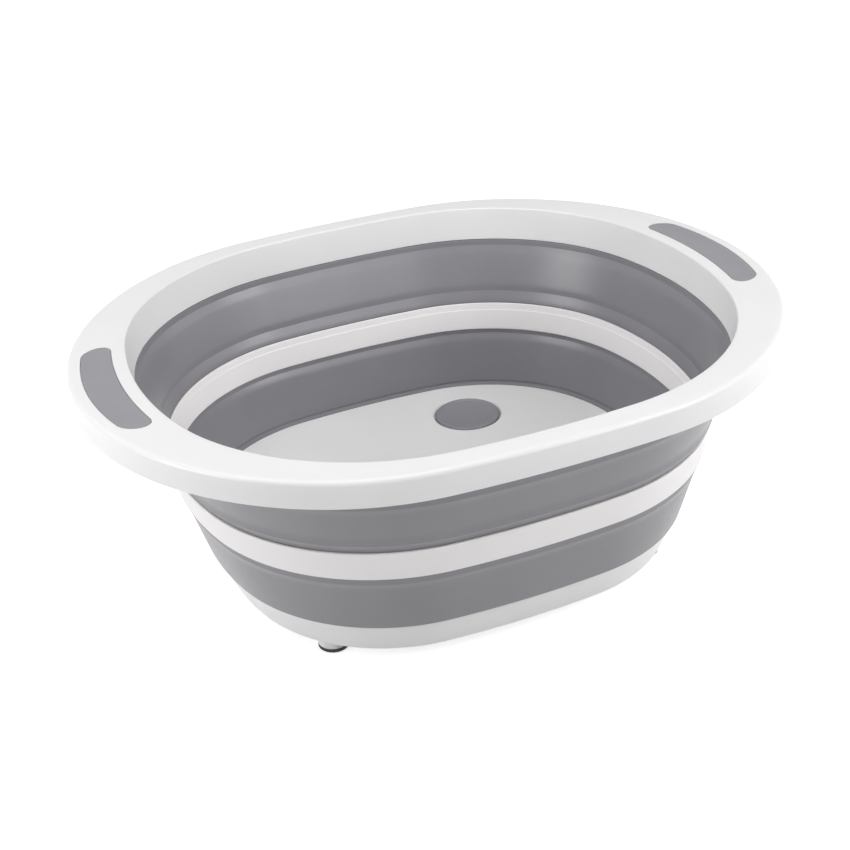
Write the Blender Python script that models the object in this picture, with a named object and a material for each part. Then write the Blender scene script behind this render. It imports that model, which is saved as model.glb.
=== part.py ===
# Collapsible camp washbasin: stiff rim, middle ring and base, joined by two soft folding walls.
# Metres, +Z up. The long way lies along X, the front faces -Y, and the foot pads stand on z = 0.

import math

import bmesh
import bpy
from mathutils import Matrix, Vector

# Plan of the opening, taken at the inside edge of the rim's top.
# Each quarter has an end arc, a corner arc and a side arc, and a bulge says how far
# the end or side arc stands out past the corner arc.
OPENING_HALF_LENGTH = 0.1666
OPENING_HALF_WIDTH = 0.1492
CORNER_CENTRE_Y = 0.0206
OPENING_END_BULGE = 0.0026
OPENING_SIDE_BULGE = 0.0016

# Plan of the rim's outside
HANDLE_WIDTH = 0.0334
SIDE_FLANGE_WIDTH = 0.0140
RIM_END_BULGE = 0.0118
RIM_SIDE_BULGE = 0.0018

# Heights, from the ground up
LEG_REACH = 0.0089
BASE_WALL_HEIGHT = 0.0195
LOWER_FOLD_HEIGHT = 0.0391
RING_HEIGHT = 0.0173
UPPER_FOLD_HEIGHT = 0.0396
RIM_WALL_HEIGHT = 0.0206

# How much the inside draws in over each height, from the top down
RIM_WALL_TAPER = 0.0022
UPPER_FOLD_TAPER = 0.0147
RING_TAPER = 0.0028
LOWER_FOLD_TAPER = 0.0109
BASE_WALL_TAPER = 0.0078

# Rim section
RIM_WALL = 0.0022
FLANGE_THICKNESS = 0.0026
SKIRT_HEIGHT = 0.0143
SKIRT_FLARE = 0.0010
RIM_OUTER_ROUND = 0.0028
RIM_INNER_ROUND = 0.0010

# Grip inserts in the handle ends
GRIP_OUTER_MARGIN = 0.0073
GRIP_INNER_MARGIN = 0.0075
GRIP_HALF_LENGTH = 0.0520
GRIP_END_REACH = 0.0083
GRIP_THICKNESS = 0.0010

# Middle ring section
RING_WALL = 0.0047
RING_STEP_HEIGHT = 0.0030
RING_STEP_WIDTH = 0.0004
GROOVE_DEPTH = 0.0035

# Folding walls
FOLD_WALL = 0.0024
FOLD_TAB = 0.0012
LOW_BAND = 0.0038
HIGH_BAND = 0.0030
LOW_HINGE_WIDTH = 0.0048
HIGH_HINGE_WIDTH = 0.0062
HINGE_DEEP_SHARE = 0.88
HINGE_CUT = 0.0011
HINGE_BACK_CUT = 0.0005
HINGE_RIDGE = 0.0008
LAP_HEIGHT = 0.0050
FOOT_LIP = 0.0005
LEDGE_HEIGHT = 0.0012
LEDGE_CUT = 0.0005
FOOT_OVERHANG = 0.0012
FOOT_BEVEL = 0.0008

# Base section
FLOOR_RISE = 0.0032
SEAT_WIDTH = 0.0025
FLOOR_THICKNESS = 0.0024
BASE_WALL = 0.0022
BASE_EDGE_ROUND = 0.0012

# Legs and foot pads
LEG_EDGE_GAP = 0.0027
LEG_DIRECTION = math.radians(41.8)
LEG_RADIUS = 0.0087
PAD_THICKNESS = 0.0022
PEG_RADIUS = 0.0030
PEG_LENGTH = 0.0040

# Drain and stopper
DRAIN_EDGE_GAP = 0.0180
DRAIN_DIRECTION = math.radians(73.2)
PLUG_HEAD_RADIUS = 0.0212
PLUG_HEAD_THICKNESS = 0.0034
PLUG_LIP_WIDTH = 0.0014
PLUG_LIP_HEIGHT = 0.0005
PLUG_DISH = 0.0022
PLUG_STUB_RADIUS = 0.0168
PLUG_STUB_LENGTH = 0.0090
PLUG_STUB_WALL = 0.0022
PLUG_STUB_TAPER = 0.0008
COLLAR_WALL = 0.0022
COLLAR_LENGTH = 0.0125
DRAIN_CHAMFER = 0.0010

# Fits and facets
CLEARANCE = 0.0003
OVERRUN = 0.0010
CORNER_STEPS = 15
SIDE_STEPS = 3
ROUND_STEPS = 32
LEG_STEPS = 24
GRIP_STEPS = 10
GRIP_END_STEPS = 8
DISH_STEPS = 3

# Levels worked out from the heights
BASE_FOOT_Z = LEG_REACH
SEAT_Z = BASE_FOOT_Z + BASE_WALL_HEIGHT
FLOOR_Z = SEAT_Z + FLOOR_RISE
RING_LOW_Z = SEAT_Z + LOWER_FOLD_HEIGHT
RING_TOP_Z = RING_LOW_Z + RING_HEIGHT
WALL_FOOT_Z = RING_TOP_Z + UPPER_FOLD_HEIGHT
RIM_TOP_Z = WALL_FOOT_Z + RIM_WALL_HEIGHT
SKIRT_FOOT_Z = RIM_TOP_Z - SKIRT_HEIGHT

# Inside faces at those levels, as offsets from the opening's plan
WALL_FOOT_IN = -RIM_WALL_TAPER
RING_TOP_IN = WALL_FOOT_IN - UPPER_FOLD_TAPER
RING_LOW_IN = RING_TOP_IN - RING_TAPER
FLOOR_EDGE_IN = RING_LOW_IN - LOWER_FOLD_TAPER
BASE_TOP_OUT = FLOOR_EDGE_IN + SEAT_WIDTH
BASE_FOOT_OUT = BASE_TOP_OUT - BASE_WALL_TAPER


def clear_scene():
    for thing in list(bpy.data.objects):
        bpy.data.objects.remove(thing)


def make_plan(half_length, half_width, end_bulge, side_bulge):
    # The three arcs of a quarter, each with the direction where it ends, its centre and its radius
    corner_radius = half_width - side_bulge - CORNER_CENTRE_Y
    corner_x = half_length - end_bulge - corner_radius
    end_radius = corner_radius + end_bulge / 2 + CORNER_CENTRE_Y ** 2 / (2 * end_bulge)
    side_radius = corner_radius + side_bulge / 2 + corner_x ** 2 / (2 * side_bulge)
    end_x = half_length - end_radius
    side_y = half_width - side_radius
    end_angle = math.atan2(CORNER_CENTRE_Y, corner_x - end_x)
    side_angle = math.atan2(CORNER_CENTRE_Y - side_y, corner_x)
    return (
        (end_angle, end_x, 0.0, end_radius),
        (side_angle, corner_x, CORNER_CENTRE_Y, corner_radius),
        (math.pi / 2, 0.0, side_y, side_radius),
    )


OPENING = make_plan(OPENING_HALF_LENGTH, OPENING_HALF_WIDTH, OPENING_END_BULGE, OPENING_SIDE_BULGE)
OUTSIDE = make_plan(
    OPENING_HALF_LENGTH + HANDLE_WIDTH,
    OPENING_HALF_WIDTH + SIDE_FLANGE_WIDTH,
    RIM_END_BULGE,
    RIM_SIDE_BULGE,
)


def quarter_angles():
    # Even steps round the end and corner, then a few along the nearly straight side
    side_angle = OPENING[1][0]
    steps = [side_angle * i / CORNER_STEPS for i in range(CORNER_STEPS)]
    rest = math.pi / 2 - side_angle
    return steps + [side_angle + rest * i / SIDE_STEPS for i in range(SIDE_STEPS)]


def plan_point(plan, angle, offset):
    # The point whose outward direction is the angle, in the first quarter
    arc = next((a for a in plan if angle <= a[0]), plan[-1])
    radius = arc[3] + offset
    return arc[1] + radius * math.cos(angle), arc[2] + radius * math.sin(angle)


def plan_loop(plan, offset, z):
    # One closed loop of points, counter-clockwise from +X
    angles = quarter_angles()
    quarter = [plan_point(plan, a, offset) for a in angles]
    side = [plan_point(plan, math.pi / 2, offset)]
    half = quarter + side + [(-x, y) for x, y in reversed(quarter[1:])]
    end = [(-quarter[0][0], 0.0)]
    lower = [(-x, -y) for x, y in quarter[1:]] + [(0.0, -side[0][1])]
    last = [(x, -y) for x, y in reversed(quarter[1:])]
    return [Vector((x, y, z)) for x, y in half + end + lower + last]


def between(low, high, z):
    # Offset at height z on the straight line from one (offset, z) point to another
    part = (z - low[1]) / (high[1] - low[1])
    return low[0] + (high[0] - low[0]) * part


def skin_loops(loops, closed):
    # Quads between neighbouring loops. A closed section joins the last loop to the first,
    # an open one is capped at both ends.
    bm = bmesh.new()
    rows = [[bm.verts.new(p) for p in loop] for loop in loops]
    count = len(rows[0])
    pairs = list(zip(rows, rows[1:]))
    if closed:
        pairs.append((rows[-1], rows[0]))
    else:
        bm.faces.new(rows[0])
        bm.faces.new(rows[-1])
    for low, high in pairs:
        for i in range(count):
            j = (i + 1) % count
            bm.faces.new((low[i], low[j], high[j], high[i]))
    bmesh.ops.recalc_face_normals(bm, faces=bm.faces)
    return bm


def turned(profile, steps):
    # Solid of revolution about Z from (radius, z) points that start and end on the axis
    bm = bmesh.new()
    verts = [bm.verts.new((r, 0.0, z)) for r, z in profile]
    edges = [bm.edges.new(pair) for pair in zip(verts, verts[1:])]
    bmesh.ops.spin(
        bm, geom=verts + edges, axis=(0, 0, 1), cent=(0, 0, 0), angle=2 * math.pi, steps=steps, use_merge=True
    )
    bmesh.ops.remove_doubles(bm, verts=bm.verts, dist=CLEARANCE / 10)
    bmesh.ops.recalc_face_normals(bm, faces=bm.faces)
    return bm


def place(name, bm, origin, parent=None, surface=None):
    # A named object whose mesh is stored about its own origin
    bmesh.ops.translate(bm, verts=bm.verts, vec=-Vector(origin))
    mesh = bpy.data.meshes.new(name)
    bm.to_mesh(mesh)
    bm.free()
    mesh.shade_smooth()
    mesh.set_sharp_from_angle(angle=math.radians(30))
    thing = bpy.data.objects.new(name, mesh)
    bpy.context.scene.collection.objects.link(thing)
    thing.location = Vector(origin)
    if parent is not None:
        thing.parent = parent
        thing.matrix_parent_inverse = Matrix.Translation(-parent.location)
    if surface is not None:
        mesh.materials.append(surface)
    return thing


def carrier(name, origin):
    # An empty on the line along which its pieces slide
    thing = bpy.data.objects.new(name, None)
    bpy.context.scene.collection.objects.link(thing)
    thing.location = Vector(origin)
    return thing


def combine(target, tool, operation):
    # Join or cut with a helper solid, which stays in the file as a wire guide
    tool.hide_render = True
    tool.display_type = 'WIRE'
    change = target.modifiers.new(operation.lower() + '_' + tool.name, 'BOOLEAN')
    change.operation = operation
    change.solver = 'EXACT'
    change.object = tool


def plastic(name, colour, roughness):
    # Unpainted moulded plastic or rubber
    surface = bpy.data.materials.new(name)
    surface.use_nodes = True
    shader = surface.node_tree.nodes['Principled BSDF']
    shader.inputs['Base Color'].default_value = (*colour, 1.0)
    shader.inputs['Roughness'].default_value = roughness
    shader.inputs['Metallic'].default_value = 0.0
    return surface


def rounded(radius, steps):
    # A quarter round, as (across, along) pairs from its first edge to its second
    angles = [math.pi / 2 * i / steps for i in range(steps + 1)]
    return [(radius * (1 - math.cos(a)), radius * math.sin(a)) for a in angles]


def rim_section():
    # Inside wall, flange and skirt, as one upside-down channel that is wider at the handles
    inner_line = ((WALL_FOOT_IN, WALL_FOOT_Z), (0.0, RIM_TOP_Z))
    flange_under_z = RIM_TOP_Z - FLANGE_THICKNESS
    loops = [(OPENING, WALL_FOOT_IN, WALL_FOOT_Z)]
    for across, along in rounded(RIM_INNER_ROUND, 2):
        z = RIM_TOP_Z - RIM_INNER_ROUND + along
        loops.append((OPENING, between(*inner_line, z) + across, z))
    for across, along in reversed(rounded(RIM_OUTER_ROUND, 3)):
        loops.append((OUTSIDE, -across, RIM_TOP_Z - RIM_OUTER_ROUND + along))
    loops.append((OUTSIDE, SKIRT_FLARE, SKIRT_FOOT_Z))
    loops.append((OUTSIDE, SKIRT_FLARE - RIM_WALL, SKIRT_FOOT_Z))
    loops.append((OUTSIDE, -RIM_WALL, flange_under_z))
    loops.append((OPENING, between(*inner_line, flange_under_z) + RIM_WALL, flange_under_z))
    loops.append((OPENING, WALL_FOOT_IN + RIM_WALL, WALL_FOOT_Z))
    return loops


def grip_outline(inset):
    # The outer edge follows the rim's end and the inner edge the opening's, with full round ends
    outer = OUTSIDE[0][3] - GRIP_OUTER_MARGIN - inset
    inner = OPENING[0][3] + GRIP_INNER_MARGIN + inset
    straight = GRIP_HALF_LENGTH - GRIP_END_REACH
    run = [straight * (2 * i / GRIP_STEPS - 1) for i in range(1, GRIP_STEPS)]
    end = []
    for i in range(GRIP_END_STEPS + 1):
        turn = math.pi * i / GRIP_END_STEPS
        end.append((math.cos(turn), straight + (GRIP_END_REACH - inset) * math.sin(turn)))
    half = [(1.0, along) for along in run] + end
    points = []
    for across, along in half + [(-across, -along) for across, along in half]:
        outer_part = (1 + across) / 2
        inner_part = 1 - outer_part
        out_x = OUTSIDE[0][1] + outer * math.cos(along / outer)
        in_x = OPENING[0][1] + inner * math.cos(along / inner)
        x = out_x * outer_part + in_x * inner_part
        y = outer * math.sin(along / outer) * outer_part + inner * math.sin(along / inner) * inner_part
        points.append((x, y))
    return points


def grip_solid(side, inset, low_z, high_z):
    outline = grip_outline(inset)
    loops = [[Vector((side * x, y, z)) for x, y in outline] for z in (low_z, high_z)]
    return skin_loops(loops, closed=False)


def add_rim(carrier_empty, white, grey):
    loops = [plan_loop(*row) for row in rim_section()]
    rim = place('rim', skin_loops(loops, closed=True), carrier_empty.location, carrier_empty, white)
    pocket_z = RIM_TOP_Z - GRIP_THICKNESS - CLEARANCE
    for name, side in (('grip_left', -1), ('grip_right', 1)):
        cut = grip_solid(side, 0.0, pocket_z, RIM_TOP_Z + OVERRUN)
        combine(rim, place(name + '_pocket', cut, carrier_empty.location, carrier_empty), 'DIFFERENCE')
        insert = grip_solid(side, CLEARANCE, pocket_z + CLEARANCE, RIM_TOP_Z)
        place(name, insert, carrier_empty.location, carrier_empty, grey)


def ring_inner(z):
    return between((RING_LOW_IN, RING_LOW_Z), (RING_TOP_IN, RING_TOP_Z), z)


def ring_section():
    # A tapered band, set back a little along its top, with a groove in each edge for the soft wall
    groove = FOLD_TAB + 2 * CLEARANCE
    cheek = (RING_WALL - groove) / 2
    top_floor = RING_TOP_Z - GROOVE_DEPTH
    low_floor = RING_LOW_Z + GROOVE_DEPTH
    section = [
        (0.0, RING_LOW_Z),
        (0.0, RING_TOP_Z - RING_STEP_HEIGHT),
        (RING_STEP_WIDTH, RING_TOP_Z - RING_STEP_HEIGHT + RING_STEP_WIDTH / 3),
        (RING_STEP_WIDTH, RING_TOP_Z),
        (cheek, RING_TOP_Z),
        (cheek, top_floor),
        (cheek + groove, top_floor),
        (cheek + groove, RING_TOP_Z),
        (RING_WALL, RING_TOP_Z),
        (RING_WALL, RING_LOW_Z),
        (cheek + groove, RING_LOW_Z),
        (cheek + groove, low_floor),
        (cheek, low_floor),
        (cheek, RING_LOW_Z),
    ]
    return [(OPENING, ring_inner(z) + across, z) for across, z in section]


def hinge(line, start, width, across, depth, share):
    # A groove or ridge across one face of a soft wall, furthest from the face at a share of its width
    rows = ((0.0, start), (depth, start + width * share), (0.0, start + width))
    return [(between(*line, z) + across + out, z) for out, z in rows]


def ring_tab(edge_z, tip_z, wall_z):
    # The thin edge of a soft wall that sits in the ring's groove, from its inner shoulder to its outer one
    tab_in = (RING_WALL - FOLD_TAB) / 2
    return [
        (ring_inner(edge_z) + (RING_WALL - FOLD_WALL) / 2, wall_z),
        (ring_inner(edge_z) + tab_in, wall_z),
        (ring_inner(tip_z) + tab_in, tip_z),
        (ring_inner(tip_z) + tab_in + FOLD_TAB, tip_z),
        (ring_inner(edge_z) + tab_in + FOLD_TAB, wall_z),
        (ring_inner(edge_z) + (RING_WALL + FOLD_WALL) / 2, wall_z),
    ]


def upper_fold_section():
    # From the ring's top groove up to a lap outside the rim's inner wall
    shoulder = (RING_WALL - FOLD_WALL) / 2
    low = (RING_TOP_IN + shoulder, RING_TOP_Z + CLEARANCE)
    high = (WALL_FOOT_IN, WALL_FOOT_Z - CLEARANCE)
    line = (low, high)
    start_low = low[1] + LOW_BAND
    start_high = high[1] - HIGH_BAND - HIGH_HINGE_WIDTH
    lap_in = RIM_WALL + CLEARANCE
    lap_out = lap_in + FOLD_WALL
    lap_top = WALL_FOOT_Z + LAP_HEIGHT
    lean = between((WALL_FOOT_IN, WALL_FOOT_Z), (0.0, RIM_TOP_Z), lap_top)
    tab = ring_tab(RING_TOP_Z, RING_TOP_Z - GROOVE_DEPTH + CLEARANCE, low[1])
    inside = hinge(line, start_low, LOW_HINGE_WIDTH, 0.0, HINGE_CUT, HINGE_DEEP_SHARE)
    inside += hinge(line, start_high, HIGH_HINGE_WIDTH, 0.0, HINGE_CUT, HINGE_DEEP_SHARE)
    outside = hinge(line, start_low, LOW_HINGE_WIDTH, FOLD_WALL, HINGE_RIDGE, 1 - HINGE_DEEP_SHARE)
    outside += hinge(line, start_high, HIGH_HINGE_WIDTH, FOLD_WALL, -HINGE_BACK_CUT, HINGE_DEEP_SHARE)
    return (
        inside
        + [high, (high[0] + lap_in, high[1]), (lean + lap_in, lap_top), (lean + lap_out, lap_top)]
        + [(high[0] + lap_out, high[1])]
        + list(reversed(outside))
        + list(reversed(tab))
    )


def lower_fold_section():
    # From a foot on the base's seat, with a low lip at the floor's edge, up to the ring's bottom groove
    shoulder = (RING_WALL - FOLD_WALL) / 2
    foot_z = SEAT_Z + CLEARANCE
    low = (BASE_TOP_OUT + FOOT_OVERHANG, foot_z)
    high = (RING_LOW_IN + shoulder + FOLD_WALL, RING_LOW_Z - CLEARANCE)
    line = (low, high)
    lip_z = FLOOR_Z + FOOT_LIP
    ledge_z = lip_z + LEDGE_CUT
    panel_z = ledge_z + LEDGE_HEIGHT
    start = high[1] - HIGH_BAND - HIGH_HINGE_WIDTH
    tab = ring_tab(RING_LOW_Z, RING_LOW_Z + GROOVE_DEPTH - CLEARANCE, high[1])
    inside = [
        (FLOOR_EDGE_IN, foot_z),
        (FLOOR_EDGE_IN, lip_z),
        (between(*line, ledge_z) - FOLD_WALL + LEDGE_CUT, ledge_z),
        (between(*line, panel_z) - FOLD_WALL, panel_z),
    ]
    outside = [
        (low[0] - FOOT_BEVEL, foot_z),
        (between(*line, foot_z + FOOT_BEVEL), foot_z + FOOT_BEVEL),
    ]
    inside += hinge(line, start, HIGH_HINGE_WIDTH, -FOLD_WALL, HINGE_CUT, HINGE_DEEP_SHARE)
    outside += hinge(line, start, HIGH_HINGE_WIDTH, 0.0, -HINGE_BACK_CUT, HINGE_DEEP_SHARE)
    return inside + tab + list(reversed(outside))


def base_section():
    # Underside of the floor, down the inside of the wall, up its outside, over the seat, to the floor
    under_z = FLOOR_Z - FLOOR_THICKNESS
    outer_line = ((BASE_FOOT_OUT, BASE_FOOT_Z), (BASE_TOP_OUT, SEAT_Z))
    upstand = FLOOR_EDGE_IN - CLEARANCE
    knee_z = SEAT_Z - FLOOR_THICKNESS
    section = [
        (upstand - BASE_WALL, under_z),
        (between(*outer_line, knee_z) - BASE_WALL, knee_z),
        (BASE_FOOT_OUT - BASE_WALL, BASE_FOOT_Z),
    ]
    for across, along in reversed(rounded(BASE_EDGE_ROUND, 2)):
        z = BASE_FOOT_Z + BASE_EDGE_ROUND - along
        section.append((between(*outer_line, z) - across, z))
    section += [(BASE_TOP_OUT, SEAT_Z), (upstand, SEAT_Z), (upstand, FLOOR_Z)]
    return [(OPENING, across, z) for across, z in section]


def move(bm, x, y):
    bmesh.ops.translate(bm, verts=bm.verts, vec=(x, y, 0.0))
    return bm


def leg_places():
    x, y = plan_point(OPENING, LEG_DIRECTION, BASE_FOOT_OUT - LEG_EDGE_GAP - LEG_RADIUS)
    return {'front_left': (-x, -y), 'front_right': (x, -y), 'rear_left': (-x, y), 'rear_right': (x, y)}


def drain_place():
    return plan_point(OPENING, DRAIN_DIRECTION, FLOOR_EDGE_IN - DRAIN_EDGE_GAP - PLUG_HEAD_RADIUS)


def add_legs(base, rubber):
    # Short legs moulded on the base, each with a pad pegged into its foot
    joint_z = FLOOR_Z - FLOOR_THICKNESS / 2
    leg_foot = PAD_THICKNESS + CLEARANCE
    peg_top = PAD_THICKNESS + PEG_LENGTH
    leg = [(0.0, leg_foot), (LEG_RADIUS, leg_foot), (LEG_RADIUS, joint_z), (0.0, joint_z)]
    bore = [
        (0.0, leg_foot - OVERRUN),
        (PEG_RADIUS + CLEARANCE, leg_foot - OVERRUN),
        (PEG_RADIUS + CLEARANCE, peg_top + CLEARANCE),
        (0.0, peg_top + CLEARANCE),
    ]
    pad = [
        (0.0, 0.0),
        (LEG_RADIUS - PAD_THICKNESS / 4, 0.0),
        (LEG_RADIUS, PAD_THICKNESS / 4),
        (LEG_RADIUS, PAD_THICKNESS),
        (PEG_RADIUS, PAD_THICKNESS),
        (PEG_RADIUS, peg_top),
        (0.0, peg_top),
    ]
    for name, (x, y) in leg_places().items():
        combine(base, place('leg_' + name, move(turned(leg, LEG_STEPS), x, y), (x, y, 0.0)), 'UNION')
    for name, (x, y) in leg_places().items():
        cut = move(turned(bore, LEG_STEPS // 2), x, y)
        combine(base, place('peg_bore_' + name, cut, (x, y, 0.0)), 'DIFFERENCE')
        place('foot_pad_' + name, move(turned(pad, LEG_STEPS), x, y), (x, y, 0.0), base, rubber)


def add_drain(base):
    # A collar under the floor, stepped inside for the stopper's head and stub
    joint_z = FLOOR_Z - FLOOR_THICKNESS / 2
    step_z = FLOOR_Z - PLUG_HEAD_THICKNESS
    head = PLUG_HEAD_RADIUS + CLEARANCE
    stub = PLUG_STUB_RADIUS + CLEARANCE
    foot_z = step_z - COLLAR_LENGTH
    collar = [
        (0.0, foot_z),
        (stub + COLLAR_WALL, foot_z),
        (stub + COLLAR_WALL, step_z - COLLAR_WALL),
        (head + COLLAR_WALL, step_z - COLLAR_WALL),
        (head + COLLAR_WALL, joint_z),
        (0.0, joint_z),
    ]
    way = [
        (0.0, foot_z - OVERRUN),
        (stub, foot_z - OVERRUN),
        (stub, step_z),
        (head, step_z),
        (head, FLOOR_Z - DRAIN_CHAMFER),
        (head + DRAIN_CHAMFER + OVERRUN, FLOOR_Z + OVERRUN),
        (0.0, FLOOR_Z + OVERRUN),
    ]
    x, y = drain_place()
    combine(base, place('collar', move(turned(collar, ROUND_STEPS), x, y), (x, y, 0.0)), 'UNION')
    combine(base, place('drain_way', move(turned(way, ROUND_STEPS), x, y), (x, y, 0.0)), 'DIFFERENCE')


def add_plug(rubber):
    # Dished head with a thin raised lip, over a hollow stub that fills the collar
    lip_z = FLOOR_Z + CLEARANCE
    seat_z = FLOOR_Z - PLUG_HEAD_THICKNESS + CLEARANCE
    tip_z = seat_z - PLUG_STUB_LENGTH
    dish_radius = PLUG_HEAD_RADIUS - PLUG_LIP_WIDTH - PLUG_LIP_HEIGHT
    dish_top = lip_z - PLUG_LIP_HEIGHT
    dish_depth = PLUG_DISH - PLUG_LIP_HEIGHT
    profile = [(0.0, dish_top - dish_depth)]
    for i in range(1, DISH_STEPS + 1):
        out = i / DISH_STEPS
        profile.append((dish_radius * out, dish_top - dish_depth * (1 - out ** 2)))
    profile += [
        (PLUG_HEAD_RADIUS - PLUG_LIP_WIDTH, lip_z),
        (PLUG_HEAD_RADIUS - PLUG_LIP_WIDTH / 3, lip_z),
        (PLUG_HEAD_RADIUS, lip_z - PLUG_LIP_WIDTH / 2),
        (PLUG_HEAD_RADIUS, seat_z),
        (PLUG_STUB_RADIUS, seat_z),
        (PLUG_STUB_RADIUS - PLUG_STUB_TAPER, tip_z),
        (PLUG_STUB_RADIUS - PLUG_STUB_TAPER - PLUG_STUB_WALL, tip_z),
        (PLUG_STUB_RADIUS - PLUG_STUB_WALL, seat_z - PLUG_STUB_WALL / 2),
        (0.0, seat_z - PLUG_STUB_WALL / 2),
    ]
    x, y = drain_place()
    empty = carrier('plug_carrier', (x, y, FLOOR_Z))
    solid = move(turned(profile, ROUND_STEPS), x, y)
    place('drain_plug', solid, empty.location, empty, rubber)


def build():
    clear_scene()
    white = plastic('white_plastic', (0.83, 0.83, 0.84), 0.32)
    ring_white = plastic('ring_plastic', (0.78, 0.76, 0.76), 0.34)
    soft_grey = plastic('soft_wall', (0.190, 0.187, 0.205), 0.42)
    grip_grey = plastic('grip_rubber', (0.330, 0.325, 0.345), 0.55)
    plug_grey = plastic('plug_rubber', (0.220, 0.218, 0.240), 0.50)
    pad_black = plastic('pad_rubber', (0.030, 0.030, 0.032), 0.70)

    rim_carrier = carrier('rim_carrier', (0.0, 0.0, RIM_TOP_Z))
    ring_carrier = carrier('ring_carrier', (0.0, 0.0, RING_LOW_Z))
    add_rim(rim_carrier, white, grip_grey)

    ring_loops = [plan_loop(*row) for row in ring_section()]
    place('mid_ring', skin_loops(ring_loops, closed=True), ring_carrier.location, ring_carrier, ring_white)

    for name, section, parent in (
        ('upper_fold', upper_fold_section(), ring_carrier),
        ('lower_fold', lower_fold_section(), None),
    ):
        loops = [plan_loop(OPENING, across, z) for across, z in section]
        place(name, skin_loops(loops, closed=True), (0.0, 0.0, RING_LOW_Z), parent, soft_grey)

    base_loops = [plan_loop(*row) for row in base_section()]
    base = place('base', skin_loops(base_loops, closed=False), (0.0, 0.0, 0.0), None, white)
    add_drain(base)
    add_legs(base, pad_black)
    add_plug(plug_grey)


build()
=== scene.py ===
import math

import bmesh
import bpy
from mathutils import Matrix, Vector


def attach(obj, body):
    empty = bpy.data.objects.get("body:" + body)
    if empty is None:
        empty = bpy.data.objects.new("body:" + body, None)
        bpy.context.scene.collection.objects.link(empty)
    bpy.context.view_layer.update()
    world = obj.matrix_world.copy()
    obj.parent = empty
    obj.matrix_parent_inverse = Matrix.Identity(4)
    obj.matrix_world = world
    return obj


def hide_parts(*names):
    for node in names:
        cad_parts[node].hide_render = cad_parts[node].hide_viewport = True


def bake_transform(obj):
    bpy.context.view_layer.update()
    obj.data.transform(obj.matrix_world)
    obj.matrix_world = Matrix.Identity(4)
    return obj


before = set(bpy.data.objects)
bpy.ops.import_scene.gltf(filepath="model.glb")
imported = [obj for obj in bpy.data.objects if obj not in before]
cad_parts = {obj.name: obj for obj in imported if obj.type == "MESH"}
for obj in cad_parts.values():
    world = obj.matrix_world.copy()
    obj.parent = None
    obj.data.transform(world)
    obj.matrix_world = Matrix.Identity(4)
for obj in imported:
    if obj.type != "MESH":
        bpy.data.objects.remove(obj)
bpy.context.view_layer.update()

print("frame loaded:", len(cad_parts), "pieces")

# Plan
# Every level of the bowl follows one plan: an end arc, a corner arc and a side arc in each quarter.

opening = {"halfLength": 0.1666, "halfWidth": 0.1492, "endBulge": 0.0026, "sideBulge": 0.0016}
outside = {"halfLength": 0.2000, "halfWidth": 0.1632, "endBulge": 0.0118, "sideBulge": 0.0018}
planDetail = {"cornerCentreY": 0.0206, "cornerSteps": 56, "sideSteps": 12}

# Heights from the ground, and how far inside the opening's line each level lies
level = {
    "baseFoot": 0.0089, "seat": 0.0284, "floor": 0.0316,
    "ringLow": 0.0675, "ringTop": 0.0848, "wallFoot": 0.1244,
    "skirtFoot": 0.1307, "rimTop": 0.1450,
}
inset = {
    "wallFoot": -0.0022, "ringTop": -0.0169, "ringLow": -0.0197,
    "floorEdge": -0.0306, "baseTop": -0.0281, "baseFoot": -0.0359,
}


def makePlan(halfLength, halfWidth, endBulge, sideBulge):
    centreY = planDetail["cornerCentreY"]
    cornerRadius = halfWidth - sideBulge - centreY
    cornerX = halfLength - endBulge - cornerRadius
    endRadius = cornerRadius + endBulge / 2 + centreY ** 2 / (2 * endBulge)
    sideRadius = cornerRadius + sideBulge / 2 + cornerX ** 2 / (2 * sideBulge)
    endX = halfLength - endRadius
    sideY = halfWidth - sideRadius
    endAngle = math.atan2(centreY, cornerX - endX)
    sideAngle = math.atan2(centreY - sideY, cornerX)
    return (
        (endAngle, endX, 0.0, endRadius),
        (sideAngle, cornerX, centreY, cornerRadius),
        (math.pi / 2, 0.0, sideY, sideRadius),
    )


openingPlan = makePlan(**opening)
outsidePlan = makePlan(**outside)


def quarterAngles():
    side = openingPlan[1][0]
    corner = [side * i / planDetail["cornerSteps"] for i in range(planDetail["cornerSteps"])]
    rest = math.pi / 2 - side
    return corner + [side + rest * i / planDetail["sideSteps"] for i in range(planDetail["sideSteps"])]


def planPoint(plan, angle, offset):
    arc = next((a for a in plan if angle <= a[0]), plan[-1])
    reach = arc[3] + offset
    return arc[1] + reach * math.cos(angle), arc[2] + reach * math.sin(angle)


def rowPoint(angle, mix, offset):
    # mix 0 follows the opening's line and 1 the rim's outside line
    ax, ay = planPoint(openingPlan, angle, offset)
    bx, by = planPoint(outsidePlan, angle, offset)
    return ax + (bx - ax) * mix, ay + (by - ay) * mix


def rowLoop(mix, offset, z):
    angles = quarterAngles()
    quarter = [rowPoint(a, mix, offset) for a in angles]
    side = [rowPoint(math.pi / 2, mix, offset)]
    half = quarter + side + [(-x, y) for x, y in reversed(quarter[1:])]
    lower = [(-quarter[0][0], 0.0)] + [(-x, -y) for x, y in quarter[1:]] + [(0.0, -side[0][1])]
    last = [(x, -y) for x, y in reversed(quarter[1:])]
    return [(x, y, z) for x, y in half + lower + last]


# Shape tools

sharpEdge = math.radians(32)  # edges that turn more than this stay crisp
overcut = 0.001  # how far a cutting tool runs past what it cuts
flatEnough = 0.000001  # a round end that rises less than this is one flat face


def along(low, high, z):
    # offset at height z on the straight line between two (offset, z) points
    return low[0] + (high[0] - low[0]) * (z - low[1]) / (high[1] - low[1])


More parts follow.
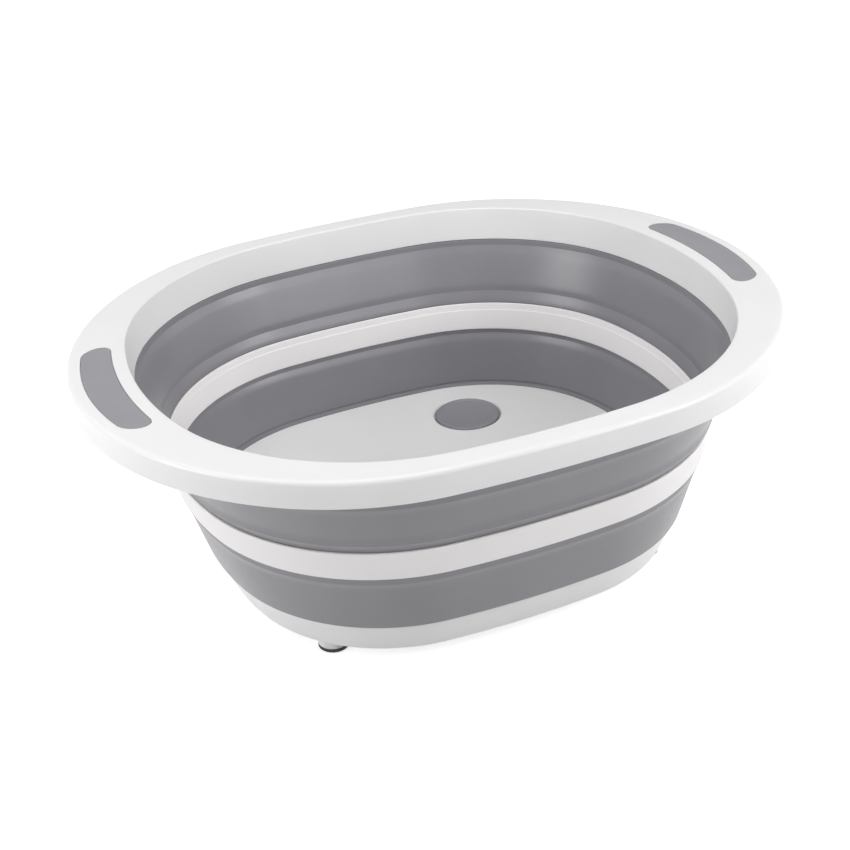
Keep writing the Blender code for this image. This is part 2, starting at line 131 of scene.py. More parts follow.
def soften(points, radii, steps=5, closed=True, mostOfSide=0.48):
    # rounds the corners of a section, each with its own radius, as far as its sides are long enough
    done = []
    count = len(points)
    for i, here in enumerate(points):
        radius = radii[i]
        if radius == 0 or (not closed and i in (0, count - 1)):
            done.append(here)
            continue
        p = Vector(here)
        a = Vector(points[i - 1]) - p
        b = Vector(points[(i + 1) % count]) - p
        half = a.angle(b) / 2
        back = min(radius / math.tan(half), mostOfSide * a.length, mostOfSide * b.length)
        radius = back * math.tan(half)
        start = p + a.normalized() * back
        middle = p + (a.normalized() + b.normalized()).normalized() * (radius / math.sin(half))
        end = p + b.normalized() * back
        u, v = start - middle, end - middle
        turn = math.atan2(u.x * v.y - u.y * v.x, u.dot(v))
        for k in range(steps + 1):
            t = turn * k / steps
            c, s = math.cos(t), math.sin(t)
            done.append((middle.x + u.x * c - u.y * s, middle.y + u.x * s + u.y * c))
    return done


def meshFromLoops(name, loops, closed=True):
    bm = bmesh.new()
    rows = [[bm.verts.new(p) for p in loop] for loop in loops]
    count = len(rows[0])
    pairs = list(zip(rows, rows[1:]))
    if closed:
        pairs.append((rows[-1], rows[0]))
    else:
        bm.faces.new(rows[0])
        bm.faces.new(rows[-1])
    for low, high in pairs:
        for i in range(count):
            j = (i + 1) % count
            bm.faces.new((low[i], low[j], high[j], high[i]))
    return finishMesh(name, bm)


def turnedMesh(name, profile, place, steps):
    # a round piece from (radius, z) points that start and end on its axis
    bm = bmesh.new()
    turns = [2 * math.pi * k / steps for k in range(steps)]
    rings = [[bm.verts.new((place[0] + r * math.cos(t), place[1] + r * math.sin(t), z)) for t in turns]
             for r, z in profile[1:-1]]
    for low, high in zip(rings, rings[1:]):
        for k in range(steps):
            after = (k + 1) % steps
            bm.faces.new((low[k], low[after], high[after], high[k]))
    for tip, beside, ring in ((profile[0], profile[1], rings[0]), (profile[-1], profile[-2], rings[-1])):
        if abs(tip[1] - beside[1]) < flatEnough:
            bm.faces.new(ring)
            continue
        centre = bm.verts.new((place[0], place[1], tip[1]))
        for k in range(steps):
            bm.faces.new((centre, ring[k], ring[(k + 1) % steps]))
    return finishMesh(name, bm)


def finishMesh(name, bm):
    bmesh.ops.recalc_face_normals(bm, faces=bm.faces)
    mesh = bpy.data.meshes.new(name)
    bm.to_mesh(mesh)
    bm.free()
    mesh.shade_smooth()
    mesh.set_sharp_from_angle(angle=sharpEdge)
    thing = bpy.data.objects.new(name, mesh)
    bpy.context.scene.collection.objects.link(thing)
    return thing


def carve(thing, tools, operation):
    # joins or cuts with helper solids, then keeps the result as the piece's own mesh
    for tool in tools:
        change = thing.modifiers.new("carve", "BOOLEAN")
        change.operation = operation
        change.solver = "EXACT"
        change.object = tool
    worked = thing.evaluated_get(bpy.context.evaluated_depsgraph_get())
    settled = bpy.data.meshes.new_from_object(worked)
    thing.modifiers.clear()
    thing.data = settled
    settled.name = thing.name
    settled.shade_smooth()
    settled.set_sharp_from_angle(angle=sharpEdge)
    for tool in tools:
        bpy.data.objects.remove(tool)
    return thing


def dress(thing, surface, slot, body, *nodes):
    thing.data.materials.clear()
    thing.data.materials.append(surface)
    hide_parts(*nodes)
    if body:
        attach(thing, body)
    return thing


# Finishes

noiseRange = (0.3, 0.7)  # where nearly all values of a noise lie


def newSurface(name, roughness):
    surface = bpy.data.materials.new(name)
    surface.use_nodes = True
    tree = surface.node_tree
    shader = tree.nodes["Principled BSDF"]
    shader.inputs["Roughness"].default_value = roughness
    return surface, tree, shader


def noise(tree, scale, detail, roughness=0.5):
    where = tree.nodes.new("ShaderNodeTexCoord")
    texture = tree.nodes.new("ShaderNodeTexNoise")
    texture.inputs["Scale"].default_value = scale
    texture.inputs["Detail"].default_value = detail
    texture.inputs["Roughness"].default_value = roughness
    tree.links.new(where.outputs["Object"], texture.inputs["Vector"])
    return texture.outputs["Fac"]


def spread(tree, value, low, high):
    # maps a noise to the range from low to high
    node = tree.nodes.new("ShaderNodeMapRange")
    node.inputs["From Min"].default_value, node.inputs["From Max"].default_value = noiseRange
    node.inputs["To Min"].default_value = low
    node.inputs["To Max"].default_value = high
    tree.links.new(value, node.inputs["Value"])
    return node.outputs["Result"]


def mouldedSurface(name, tone, drift, roughness, grain):
    # unpainted moulded plastic or rubber: a faint drift of tone, uneven gloss and a fine skin
    surface, tree, shader = newSurface(name, roughness)
    blendNode = tree.nodes.new("ShaderNodeMix")
    blendNode.data_type = "RGBA"
    blendNode.inputs["A"].default_value = (*[c * (1 - drift) for c in tone], 1.0)
    blendNode.inputs["B"].default_value = (*[min(1.0, c * (1 + drift)) for c in tone], 1.0)
    cloud = spread(tree, noise(tree, grain["cloud"], detail=3.0), 0.0, 1.0)
    tree.links.new(cloud, blendNode.inputs["Factor"])
    tree.links.new(blendNode.outputs["Result"], shader.inputs["Base Color"])
    gloss = spread(tree, noise(tree, grain["gloss"], detail=4.0, roughness=0.6),
                   roughness - grain["glossDrift"], roughness + grain["glossDrift"])
    tree.links.new(gloss, shader.inputs["Roughness"])
    bump = tree.nodes.new("ShaderNodeBump")
    bump.inputs["Strength"].default_value = grain["strength"]
    bump.inputs["Distance"].default_value = grain["height"]
    tree.links.new(noise(tree, grain["skin"], detail=3.0, roughness=0.55), bump.inputs["Height"])
    tree.links.new(bump.outputs["Normal"], shader.inputs["Normal"])
    return surface


# Scales are per metre, and height is how deep the moulded skin is
whiteGrain = {"cloud": 24.0, "gloss": 160.0, "glossDrift": 0.04, "skin": 2600.0, "strength": 0.25, "height": 0.00002}
softGrain = {"cloud": 30.0, "gloss": 220.0, "glossDrift": 0.04, "skin": 2400.0, "strength": 0.20, "height": 0.00002}
gripGrain = {"cloud": 40.0, "gloss": 260.0, "glossDrift": 0.04, "skin": 3600.0, "strength": 0.5, "height": 0.00004}

finishes = {
    "whitePlastic": {"tone": (0.850, 0.850, 0.853), "drift": 0.012, "roughness": 0.34, "grain": whiteGrain},
    "ringPlastic": {"tone": (0.895, 0.870, 0.874), "drift": 0.012, "roughness": 0.36, "grain": whiteGrain},
    "softWall": {"tone": (0.226, 0.221, 0.239), "drift": 0.03, "roughness": 0.32, "grain": softGrain},
    "gripRubber": {"tone": (0.282, 0.276, 0.296), "drift": 0.025, "roughness": 0.52, "grain": gripGrain},
    "plugRubber": {"tone": (0.270, 0.266, 0.287), "drift": 0.03, "roughness": 0.42, "grain": softGrain},
    "padRubber": {"tone": (0.035, 0.035, 0.037), "drift": 0.05, "roughness": 0.65, "grain": gripGrain},
}
surfaces = {name: mouldedSurface(name, **finish) for name, finish in finishes.items()}
print("finishes made")

# Rim and grips

rimShape = {
    "wall": 0.0022, "flange": 0.0026, "skirtFlare": 0.0010,
    "outerRound": 0.0028, "innerRound": 0.0010, "edgeRound": 0.0007, "footRound": 0.0004, "underRound": 0.0012,
    "lead": 0.006, "topRows": 5,
}
gripShape = {
    "outerMargin": 0.0073, "innerMargin": 0.0075, "halfLength": 0.0520, "endReach": 0.0083,
    "thickness": 0.0010, "gap": 0.0003, "edge": 0.0004, "dish": 0.0004, "spine": 0.0006,
    "edgeRows": 4, "topRows": 11,
}


def rimLoops():
    r = rimShape
    top = level["rimTop"]
    under = top - r["flange"]
    wallLine = ((inset["wallFoot"], level["wallFoot"]), (0.0, top))
    foot = level["wallFoot"]
    # three parts of the section, each with a short lead of flat at its ends
    inner = soften([
        (inset["wallFoot"] + r["wall"] / 2, foot), (inset["wallFoot"], foot), (0.0, top), (r["lead"], top),
    ], [0, r["footRound"], r["innerRound"], 0], steps=7, closed=False)
    skirt = level["skirtFoot"]
    outer = soften([
        (-r["lead"], top), (0.0, top), (r["skirtFlare"], skirt), (r["skirtFlare"] - r["wall"], skirt),
        (-r["wall"], under), (-r["lead"], under),
    ], [0, r["outerRound"], r["edgeRound"], r["edgeRound"], r["underRound"], 0], steps=7, closed=False)
    back = soften([
        (r["lead"], under), (along(*wallLine, under) + r["wall"], under),
        (inset["wallFoot"] + r["wall"], foot), (inset["wallFoot"] + r["wall"] / 2, foot),
    ], [0, r["underRound"], r["footRound"], 0], steps=4, closed=False)
    rows = [(0.0, across, z) for across, z in inner[:-1]]
    first, last = inner[-2][0], outer[1][0]
    for k in range(1, r["topRows"] + 1):
        part = k / (r["topRows"] + 1)
        rows.append((part, first + (last - first) * part, top))
    rows += [(1.0, across, z) for across, z in outer[1:-1]]
    rows += [(0.0, across, z) for across, z in back[1:-1]]
    return [rowLoop(*row) for row in rows]


def gripOutline(shrink, steps=40, endSteps=28):
    # the outer edge follows the rim's end and the inner edge the opening's, with full round ends
    g = gripShape
    outer = outsidePlan[0][3] - g["outerMargin"] - shrink
    inner = openingPlan[0][3] + g["innerMargin"] + shrink
    widest = (outside["halfLength"] - opening["halfLength"] - g["outerMargin"] - g["innerMargin"]) / 2
    straight = g["halfLength"] - g["endReach"]
    reach = g["endReach"] * (1 - shrink / widest)
    half = [(1.0, straight * (2 * i / steps - 1)) for i in range(1, steps)]
    for i in range(endSteps + 1):
        turn = math.pi * i / endSteps
        half.append((math.cos(turn), straight + reach * math.sin(turn)))
    places = []
    for across, run in half + [(-across, -run) for across, run in half]:
        part = (1 + across) / 2
        x = (outsidePlan[0][1] + outer * math.cos(run / outer)) * part
        x += (openingPlan[0][1] + inner * math.cos(run / inner)) * (1 - part)
        places.append((x, outer * math.sin(run / outer) * part + inner * math.sin(run / inner) * (1 - part)))
    return places, widest


def gripLoops(side, rows):
    loops = []
    for shrink, z in rows:
        places, _ = gripOutline(shrink)
        loops.append([(side * x, y, z) for x, y in places])
    return loops


def makeGrip(name, side):
    g = gripShape
    top = level["rimTop"]
    low = top - g["thickness"]
    rows = [(g["gap"], low)]
    for k in range(g["edgeRows"] + 1):
        t = math.pi / 2 * k / g["edgeRows"]
        rows.append((g["gap"] + g["edge"] * (1 - math.cos(t)), top - g["edge"] * (1 - math.sin(t))))
    widest = gripOutline(0.0)[1]
    for k in range(1, g["topRows"] + 1):
        part = k / g["topRows"]
        shrink = g["gap"] + g["edge"] + (widest - g["spine"] - g["gap"] - g["edge"]) * part
        rows.append((shrink, top - g["dish"] * math.sin(part * math.pi / 2) ** 2))
    return meshFromLoops(name, gripLoops(side, rows), closed=False)


rimPiece = meshFromLoops("rimShell", rimLoops())
pockets = []
for label, side in (("leftPocket", -1), ("rightPocket", 1)):
    floorZ = level["rimTop"] - gripShape["thickness"] - gripShape["gap"]
    walls = gripLoops(side, [(0.0, floorZ), (0.0, level["rimTop"] + overcut)])
    pockets.append(meshFromLoops(label, walls, closed=False))
carve(rimPiece, pockets, "DIFFERENCE")
dress(rimPiece, surfaces["whitePlastic"], "white_plastic", "rim", "rim")
for label, side, node in (("leftGrip", -1, "grip_left"), ("rightGrip", 1, "grip_right")):
    dress(makeGrip(label, side), surfaces["gripRubber"], "grip_rubber", "rim", node)
print("rim and grips made")

# Middle ring

ringShape = {
    "wall": 0.0047, "stepHeight": 0.0043, "stepWidth": 0.0003, "stepStart": 0.7,
    "groove": 0.0018, "grooveDepth": 0.0035,
    "edgeRound": 0.0006, "mouthRound": 0.0001, "stepRounds": (0.0003, 0.0004, 0.0010, 0.0004),
}


def ringInner(z):
    return along((inset["ringLow"], level["ringLow"]), (inset["ringTop"], level["ringTop"]), z)


def ringLoops():
    r = ringShape
    low, top = level["ringLow"], level["ringTop"]
    cheek = (r["wall"] - r["groove"]) / 2
    grooveOut = cheek + r["groove"]
    edge, mouth, step = r["edgeRound"], r["mouthRound"], r["stepRounds"]
    stepFoot, grooveTop, grooveLow = top - r["stepHeight"], top - r["grooveDepth"], low + r["grooveDepth"]
    section = [
        (0.0, low, edge), (0.0, stepFoot, step[0]),
        (r["stepWidth"] * r["stepStart"], stepFoot + r["stepWidth"], step[1]),
        (r["stepWidth"], top - r["stepHeight"] / 2, step[2]), (r["stepWidth"], top, step[3]),
        (cheek, top, mouth), (cheek, grooveTop, 0.0), (grooveOut, grooveTop, 0.0), (grooveOut, top, mouth),
        (r["wall"], top, edge), (r["wall"], low, edge),
        (grooveOut, low, mouth), (grooveOut, grooveLow, 0.0), (cheek, grooveLow, 0.0), (cheek, low, mouth),
    ]
    points = [(ringInner(z) + across, z) for across, z, _ in section]
    rounded = soften(points, [radius for _, _, radius in section], steps=4)
    return [rowLoop(0.0, across, z) for across, z in rounded]


dress(meshFromLoops("middleRing", ringLoops()), surfaces["ringPlastic"], "ring_plastic", "mid_ring", "mid_ring")
print("middle ring made")

# Folding walls

foldShape = {
    "wall": 0.0024, "tab": 0.0012, "lap": 0.0050, "lip": 0.0005,
    "ledge": 0.0012, "ledgeCut": 0.0005, "overhang": 0.0012, "footBevel": 0.0008, "gap": 0.0003,
    "riseRows": 8, "fallRows": 6, "roundRows": 6, "rowSpacing": 0.0025,
}

# How round the corners of the two sections are
foldRound = {
    "hinge": 0.0008, "tab": 0.0002, "wallTop": 0.0003, "lapInside": 0.0002, "lapOutside": 0.0005, "lapFoot": 0.0010,
    "lip": 0.0003, "ledge": 0.0002, "panel": 0.0008, "footInside": 0.0002, "footOutside": 0.0003,
}

# Hinge lines of the folds: where each starts, is deepest and ends, its depth, and how its two sides bend
hinges = {
    "upperLowInside": {"start": 0.0874, "deepest": 0.0924, "end": 0.0965, "depth": 0.0006, "bends": (1.2, 1.3)},
    "upperHighInside": {"start": 0.1150, "deepest": 0.1206, "end": 0.1241, "depth": 0.0007, "bends": (1.3, 1.1)},
    "upperLowOutside": {"start": 0.0862, "deepest": 0.0906, "end": 0.0955, "depth": 0.0012, "bends": (1.4, 1.5)},
    "upperHighOutside": {"start": 0.1125, "deepest": 0.1165, "end": 0.1211, "depth": 0.0006, "bends": (1.2, 1.2)},
    "lowerInside": {"start": 0.0588, "deepest": 0.0643, "end": 0.0672, "depth": 0.0009, "bends": (1.8, 1.0)},
    "lowerOutside": {"start": 0.0596, "deepest": 0.0633, "end": 0.0669, "depth": 0.0006, "bends": (1.2, 1.2)},
}


def hingeRows(name, line, across):
    # the face leaves its straight line up to the deepest place and comes back above it
    f, h = foldShape, hinges[name]
    rows = []
    for k in range(f["riseRows"] + 1):
        part = k / f["riseRows"]
        z = h["start"] + (h["deepest"] - h["start"]) * part
        rows.append((along(*line, z) + across + h["depth"] * part ** h["bends"][0], z, 0.0))
    rows[-1] = rows[-1][:2] + (foldRound["hinge"],)
    for k in range(1, f["fallRows"] + 1):
        part = k / f["fallRows"]
        z = h["deepest"] + (h["end"] - h["deepest"]) * part
        rows.append((along(*line, z) + across + h["depth"] * (1 - part) ** h["bends"][1], z, 0.0))
    return rows


def ringTab(edge, tip, wallZ):
    # the wall's edge with the tab that sits in the ring's groove
    f = foldShape
    tabIn = (ringShape["wall"] - f["tab"]) / 2
    half = f["wall"] / 2
    centre = ringShape["wall"] / 2
    return [
        (ringInner(edge) + centre - half, wallZ, foldRound["tab"]),
        (ringInner(edge) + tabIn, wallZ, 0.0),
        (ringInner(tip) + tabIn, tip, 0.0),
        (ringInner(tip) + tabIn + f["tab"], tip, 0.0),
        (ringInner(edge) + tabIn + f["tab"], wallZ, 0.0),
        (ringInner(edge) + centre + half, wallZ, foldRound["tab"]),
    ]


def upperFoldSection():
    f, c = foldShape, foldRound
    shoulder = (ringShape["wall"] - f["wall"]) / 2
    low = (inset["ringTop"] + shoulder, level["ringTop"] + f["gap"])
    high = (inset["wallFoot"], level["wallFoot"] - f["gap"])
    line = (low, high)
    lapIn = rimShape["wall"] + f["gap"]
    lapOut = lapIn + f["wall"]
    lapTop = level["wallFoot"] + f["lap"]
    lean = along((inset["wallFoot"], level["wallFoot"]), (0.0, level["rimTop"]), lapTop)
    tab = ringTab(level["ringTop"], level["ringTop"] - ringShape["grooveDepth"] + f["gap"], low[1])
    inner = hingeRows("upperLowInside", line, 0.0) + hingeRows("upperHighInside", line, 0.0)[:-1]
    outer = hingeRows("upperLowOutside", line, f["wall"]) + hingeRows("upperHighOutside", line, f["wall"])
    top = [
        (high[0], high[1], c["wallTop"]), (high[0] + lapIn, high[1], 0.0), (lean + lapIn, lapTop, c["lapInside"]),
        (lean + lapOut, lapTop, c["lapOutside"]), (high[0] + lapOut, high[1], c["lapFoot"]),
    ]
    return inner + top + list(reversed(outer)) + list(reversed(tab))


def lowerFoldSection():
    f, c = foldShape, foldRound
    shoulder = (ringShape["wall"] - f["wall"]) / 2
    foot = level["seat"] + f["gap"]
    low = (inset["baseTop"] + f["overhang"], foot)
    high = (inset["ringLow"] + shoulder + f["wall"], level["ringLow"] - f["gap"])
    line = (low, high)
    lipZ = level["floor"] + f["lip"]
    ledgeZ = lipZ + f["ledgeCut"]
    panelZ = ledgeZ + f["ledge"]
    tab = ringTab(level["ringLow"], level["ringLow"] + ringShape["grooveDepth"] - f["gap"], high[1])
    inner = [
        (inset["floorEdge"], foot, 0.0), (inset["floorEdge"], lipZ, c["lip"]),
        (along(*line, ledgeZ) - f["wall"] + f["ledgeCut"], ledgeZ, c["ledge"]),
        (along(*line, panelZ) - f["wall"], panelZ, c["panel"]),
    ]
    outer = [
        (low[0] - f["footBevel"], foot, c["footInside"]),
        (along(*line, foot + f["footBevel"]), foot + f["footBevel"], c["footOutside"]),
    ]
    inner += hingeRows("lowerInside", line, -f["wall"])[:-1]
    outer += hingeRows("lowerOutside", line, 0.0)
    return inner + tab + list(reversed(outer))


def makeFold(name, section):
    f = foldShape
    points = soften([(across, z) for across, z, _ in section], [radius for _, _, radius in section], f["roundRows"])
    # extra rows along the straight parts, so that the wall can be squeezed evenly
    filled = []
    for here, after in zip(points, points[1:] + points[:1]):
        pieces = max(1, math.ceil(math.dist(here, after) / f["rowSpacing"]))
        filled += [(here[0] + (after[0] - here[0]) * k / pieces, here[1] + (after[1] - here[1]) * k / pieces)
                   for k in range(pieces)]
    return meshFromLoops(name, [rowLoop(0.0, across, z) for across, z in filled])


for label, section, node, bodies, ends in (
    ("upperFoldWall", upperFoldSection(), "upper_fold", ("mid_ring", "rim"), ("ringTop", "wallFoot")),
    ("lowerFoldWall", lowerFoldSection(), "lower_fold", ("base", "mid_ring"), ("floor", "ringLow")),
):
    wall = dress(makeFold(label, section), surfaces["softWall"], "soft_wall", None, node)
    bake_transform(wall)
print("folding walls made")

# Base

baseShape = {
    "floorThickness": 0.0024, "wall": 0.0022, "edgeRound": 0.0012, "kneeRound": 0.0010, "footRound": 0.0005,
    "seatRound": 0.0004, "gap": 0.0003,
}
legShape = {
    "place": (0.0964, 0.0737), "radius": 0.0087, "round": 0.0005, "steps": 64,
    "padThickness": 0.0022, "padRound": 0.0003, "padTopRound": 0.0002,
    "pegRadius": 0.0030, "pegLength": 0.0040, "boreSteps": 32,
}
plugShape = {
    "place": (0.0535, 0.0754), "headRadius": 0.0207, "headGap": 0.0007, "headThickness": 0.0034,
    "lip": 0.0016, "lipHeight": 0.0008, "lipRound": 0.0004, "dish": 0.0030, "dishRows": 16, "edgeRound": 0.0003,
    "stubRadius": 0.0168, "stubLength": 0.0090, "stubWall": 0.0022, "stubTaper": 0.0008,
    "tipRound": 0.0006, "hollowRound": 0.0008, "steps": 96,
}
drainShape = {
    "wall": 0.0022, "length": 0.0125, "chamfer": 0.0010,
    "footRound": 0.0004, "stepRound": 0.0008, "seatRound": 0.0003, "mouthRound": 0.0004,
}


def softProfile(rows, steps=5):
    points = [(r, z) for r, z, _ in rows]
    return soften(points, [radius for _, _, radius in rows], steps, closed=False)


def baseLoops():
    b = baseShape
    under = level["floor"] - b["floorThickness"]
    outerLine = ((inset["baseFoot"], level["baseFoot"]), (inset["baseTop"], level["seat"]))
    upstand = inset["floorEdge"] - b["gap"]
    knee = level["seat"] - b["floorThickness"]
    section = [
        (upstand - b["wall"], under, 0.0), (along(*outerLine, knee) - b["wall"], knee, b["kneeRound"]),
        (inset["baseFoot"] - b["wall"], level["baseFoot"], b["footRound"]),
        (inset["baseFoot"], level["baseFoot"], b["edgeRound"]), (inset["baseTop"], level["seat"], b["seatRound"]),
        (upstand, level["seat"], 0.0), (upstand, level["floor"], 0.0),
    ]
    return [rowLoop(0.0, across, z) for across, z in softProfile(section)]


def legPlaces():
    x, y = legShape["place"]
    return {"front_left": (-x, -y), "front_right": (x, -y), "rear_left": (-x, y), "rear_right": (x, y)}


def makeBase():
    # the pan, legs and drain collar are joined, then the drain and the bores for the pads' pegs are cut
    gap, leg, p, d = baseShape["gap"], legShape, plugShape, drainShape
    base = meshFromLoops("basePan", baseLoops(), closed=False)
    joint = level["floor"] - baseShape["floorThickness"] / 2
    foot = leg["padThickness"] + gap
    peg = leg["padThickness"] + leg["pegLength"] + gap
    step = level["floor"] - p["headThickness"]
    head, stub = p["headRadius"] + p["headGap"], p["stubRadius"] + gap
    legs = [
        turnedMesh("leg_" + name, softProfile([
            (0.0, foot, 0), (leg["radius"], foot, leg["round"]), (leg["radius"], joint, 0), (0.0, joint, 0),
        ]), place, leg["steps"])
        for name, place in legPlaces().items()
    ]
    collar = turnedMesh("collar", softProfile([
        (0.0, step - d["length"], 0), (stub + d["wall"], step - d["length"], d["footRound"]),
        (stub + d["wall"], step - d["wall"], d["stepRound"]),
        (head + d["wall"], step - d["wall"], d["stepRound"]), (head + d["wall"], joint, 0), (0.0, joint, 0),
    ]), p["place"], p["steps"])
    carve(base, legs + [collar], "UNION")
    way = turnedMesh("drainWay", softProfile([
        (0.0, step - d["length"] - overcut, 0), (stub, step - d["length"] - overcut, 0), (stub, step, d["seatRound"]),
        (head, step, 0), (head, level["floor"] - d["chamfer"], d["mouthRound"]),
        (head + d["chamfer"] + overcut, level["floor"] + overcut, 0), (0.0, level["floor"] + overcut, 0),
    ]), p["place"], p["steps"])
    boreRadius = leg["pegRadius"] + gap
    bores = [
        turnedMesh("bore_" + name, [
            (0.0, foot - overcut), (boreRadius, foot - overcut), (boreRadius, peg), (0.0, peg),
        ], place, leg["boreSteps"])
        for name, place in legPlaces().items()
    ]
    return carve(base, [way] + bores, "DIFFERENCE")


def footPad(name, place):
    leg = legShape
    thick, edge = leg["padThickness"], leg["padThickness"] / 4
    return turnedMesh(name, softProfile([
        (0.0, 0.0, 0), (leg["radius"] - edge, 0.0, leg["padRound"]), (leg["radius"], edge, leg["padRound"]),
        (leg["radius"], thick, leg["padTopRound"]), (leg["pegRadius"], thick, 0),
        (leg["pegRadius"], thick + leg["pegLength"], leg["padTopRound"]), (0.0, thick + leg["pegLength"], 0),
    ]), place, leg["steps"])


dress(makeBase(), surfaces["whitePlastic"], "white_plastic", "base", "base")
for name, place in legPlaces().items():
    dress(footPad("footPad_" + name, place), surfaces["padRubber"], "pad_rubber", "base", "foot_pad_" + name)
print("base and feet made")

# Stopper


def plugProfile():
    p = plugShape
    gap = baseShape["gap"]
    top = level["floor"] + gap
    seat = level["floor"] - p["headThickness"] + gap
    tip = seat - p["stubLength"]
    dishRadius = p["headRadius"] - p["lip"] - p["lipHeight"]
    deep = p["dish"] - p["lipHeight"]
    tipRadius = p["stubRadius"] - p["stubTaper"]
    ceiling = seat - p["stubWall"] / 2
    rows = []
    for k in range(p["dishRows"] + 1):
        out = k / p["dishRows"]
        rows.append((dishRadius * out, top - p["lipHeight"] - deep * (1 - out ** 2), 0.0))
    rows[-1] = rows[-1][:2] + (p["edgeRound"],)
    return softProfile(rows + [
        (p["headRadius"] - p["lip"], top, p["edgeRound"]), (p["headRadius"] - p["lip"] / 3, top, p["lipRound"]),
        (p["headRadius"], top - p["lip"] / 2, p["lipRound"]), (p["headRadius"], seat, p["edgeRound"]),
        (p["stubRadius"], seat, p["edgeRound"]), (tipRadius, tip, p["tipRound"]),
        (tipRadius - p["stubWall"], tip, p["tipRound"]), (p["stubRadius"] - p["stubWall"], ceiling, p["hollowRound"]),
        (0.0, ceiling, 0),
    ], steps=6)


stopper = turnedMesh("drainStopper", plugProfile(), plugShape["place"], plugShape["steps"])
dress(stopper, surfaces["plugRubber"], "plug_rubber", "plug", "drain_plug")
print("stopper made")

# Studio

studio = {
    "ambient": 0.06, "background": 1.0, "aim": (0, 0, 0.10),
    "floorSize": 6.0, "floorDrop": 0.0002, "floorTone": 0.86, "floorRoughness": 0.9, "floorBounce": 0.80,
    "glowNear": 0.72, "glowFar": 1.0, "nearReach": 0.22, "farReach": 0.75,
}
lamps = {
    "overhead": {"power": 2.8, "size": 0.50, "place": (0.0, -0.12, 1.0)},
    "overLeft": {"power": 1.6, "size": 0.40, "place": (-0.45, 0.03, 0.90)},
    "frontRight": {"power": 5.6, "size": 0.50, "place": (0.70, -0.70, 0.70)},
    "lowFront": {"power": 3.8, "size": 0.66, "place": (0.67, -1.58, 0.64)},
    "left": {"power": 4.7, "size": 0.50, "place": (-1.0, -0.1, 0.45)},
    "right": {"power": 1.2, "size": 0.50, "place": (1.0, -0.1, 0.45)},
    "backLeft": {"power": 0.8, "size": 0.50, "place": (-0.70, 0.70, 0.70)},
}


def greyTone(value):
    return (value, value, value, 1.0)


def softLamp(name, power, size, place):
    data = bpy.data.lights.new(name, "AREA")
    data.energy = power
    data.shape = "SQUARE"
    data.size = size
    lamp = bpy.data.objects.new(name, data)
    bpy.context.scene.collection.objects.link(lamp)
    lamp.location = place
    lamp.rotation_euler = (Vector(studio["aim"]) - Vector(place)).to_track_quat("-Z", "Y").to_euler()


for label, lamp in lamps.items():
    softLamp(label + "Lamp", **lamp)


def lookRays(tree):
    # 1 where a camera, mirror or glass ray lands, and 0 for light that falls on the object
    path = tree.nodes.new("ShaderNodeLightPath")
    total = path.outputs["Is Camera Ray"]
    for kind in ("Is Glossy Ray", "Is Transmission Ray"):
        add = tree.nodes.new("ShaderNodeMath")
        add.operation = "MAXIMUM"
        tree.links.new(total, add.inputs[0])
        tree.links.new(path.outputs[kind], add.inputs[1])
        total = add.outputs[0]
    return total


def whiteWorld():
    world = bpy.data.worlds.new("studioWorld")
    world.use_nodes = True
    tree = world.node_tree
    backdrop = tree.nodes["Background"]
    backdrop.inputs["Color"].default_value = greyTone(studio["ambient"])
    shown = tree.nodes.new("ShaderNodeBackground")
    shown.inputs["Color"].default_value = greyTone(studio["background"])
    mixer = tree.nodes.new("ShaderNodeMixShader")
    tree.links.new(lookRays(tree), mixer.inputs["Fac"])
    tree.links.new(backdrop.outputs[0], mixer.inputs[1])
    tree.links.new(shown.outputs[0], mixer.inputs[2])
    tree.links.new(mixer.outputs[0], tree.nodes["World Output"].inputs["Surface"])
    bpy.context.scene.world = world


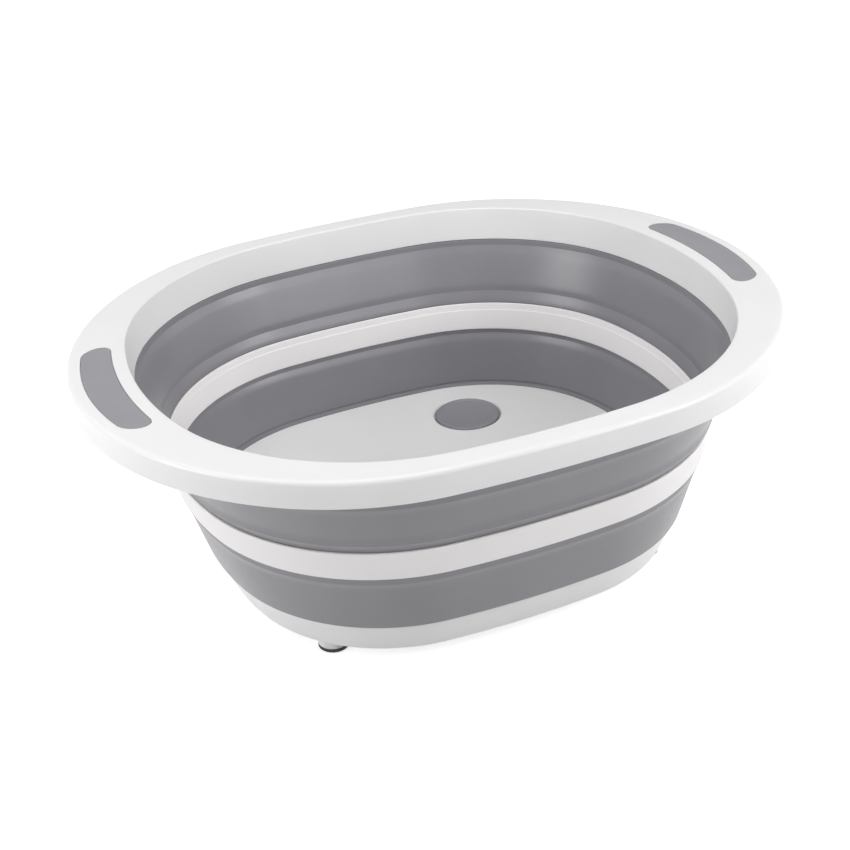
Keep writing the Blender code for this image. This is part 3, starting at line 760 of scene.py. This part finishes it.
def paleFloor():
    # a white sweep: it glows more with distance, so that it meets the white backdrop without an edge
    bm = bmesh.new()
    bmesh.ops.create_grid(bm, x_segments=1, y_segments=1, size=studio["floorSize"])
    floor = finishMesh("studioFloor", bm)
    floor.location.z = -studio["floorDrop"]
    surface, tree, shader = newSurface("floorSurface", studio["floorRoughness"])
    shader.inputs["Base Color"].default_value = greyTone(studio["floorTone"])
    shader.inputs["Specular IOR Level"].default_value = 0.0
    where = tree.nodes.new("ShaderNodeTexCoord")
    reach = tree.nodes.new("ShaderNodeVectorMath")
    reach.operation = "LENGTH"
    tree.links.new(where.outputs["Object"], reach.inputs[0])
    fade = tree.nodes.new("ShaderNodeMapRange")
    fade.interpolation_type = "SMOOTHSTEP"
    fade.inputs["From Min"].default_value = studio["nearReach"]
    fade.inputs["From Max"].default_value = studio["farReach"]
    fade.inputs["To Min"].default_value = studio["glowNear"]
    fade.inputs["To Max"].default_value = studio["glowFar"]
    tree.links.new(reach.outputs["Value"], fade.inputs["Value"])
    glow = tree.nodes.new("ShaderNodeEmission")
    tree.links.new(fade.outputs["Result"], glow.inputs["Strength"])
    shown = tree.nodes.new("ShaderNodeAddShader")
    tree.links.new(shader.outputs[0], shown.inputs[0])
    tree.links.new(glow.outputs[0], shown.inputs[1])
    bounce = tree.nodes.new("ShaderNodeBsdfDiffuse")
    bounce.inputs["Color"].default_value = greyTone(studio["floorBounce"])
    mixer = tree.nodes.new("ShaderNodeMixShader")
    tree.links.new(lookRays(tree), mixer.inputs["Fac"])
    tree.links.new(bounce.outputs[0], mixer.inputs[1])
    tree.links.new(shown.outputs[0], mixer.inputs[2])
    tree.links.new(mixer.outputs[0], tree.nodes["Material Output"].inputs["Surface"])
    floor.data.materials.append(surface)


whiteWorld()
paleFloor()
bpy.context.scene.view_settings.view_transform = "Standard"
print("studio made")

# Camera

view = {
    "place": (-0.28411, -0.70513, 0.49280), "lens": 63.29, "sensor": 36.0, "shift": 0.0007, "clip": (0.01, 50.0),
    "right": (0.91683793, -0.39515281, -0.05711807),
    "up": (0.23719443, 0.42400009, 0.87404961),
    "back": (-0.3211651, -0.81490992, 0.48246741),
}
camera = bpy.data.objects.new("camera", bpy.data.cameras.new("camera"))
bpy.context.scene.collection.objects.link(camera)
turn = Matrix((view["right"], view["up"], view["back"])).transposed().to_4x4()
camera.matrix_world = Matrix.Translation(view["place"]) @ turn
camera.data.lens = view["lens"]
camera.data.sensor_width = view["sensor"]
camera.data.shift_y = view["shift"]
camera.data.clip_start, camera.data.clip_end = view["clip"]
bpy.context.scene.camera = camera

print("camera set")
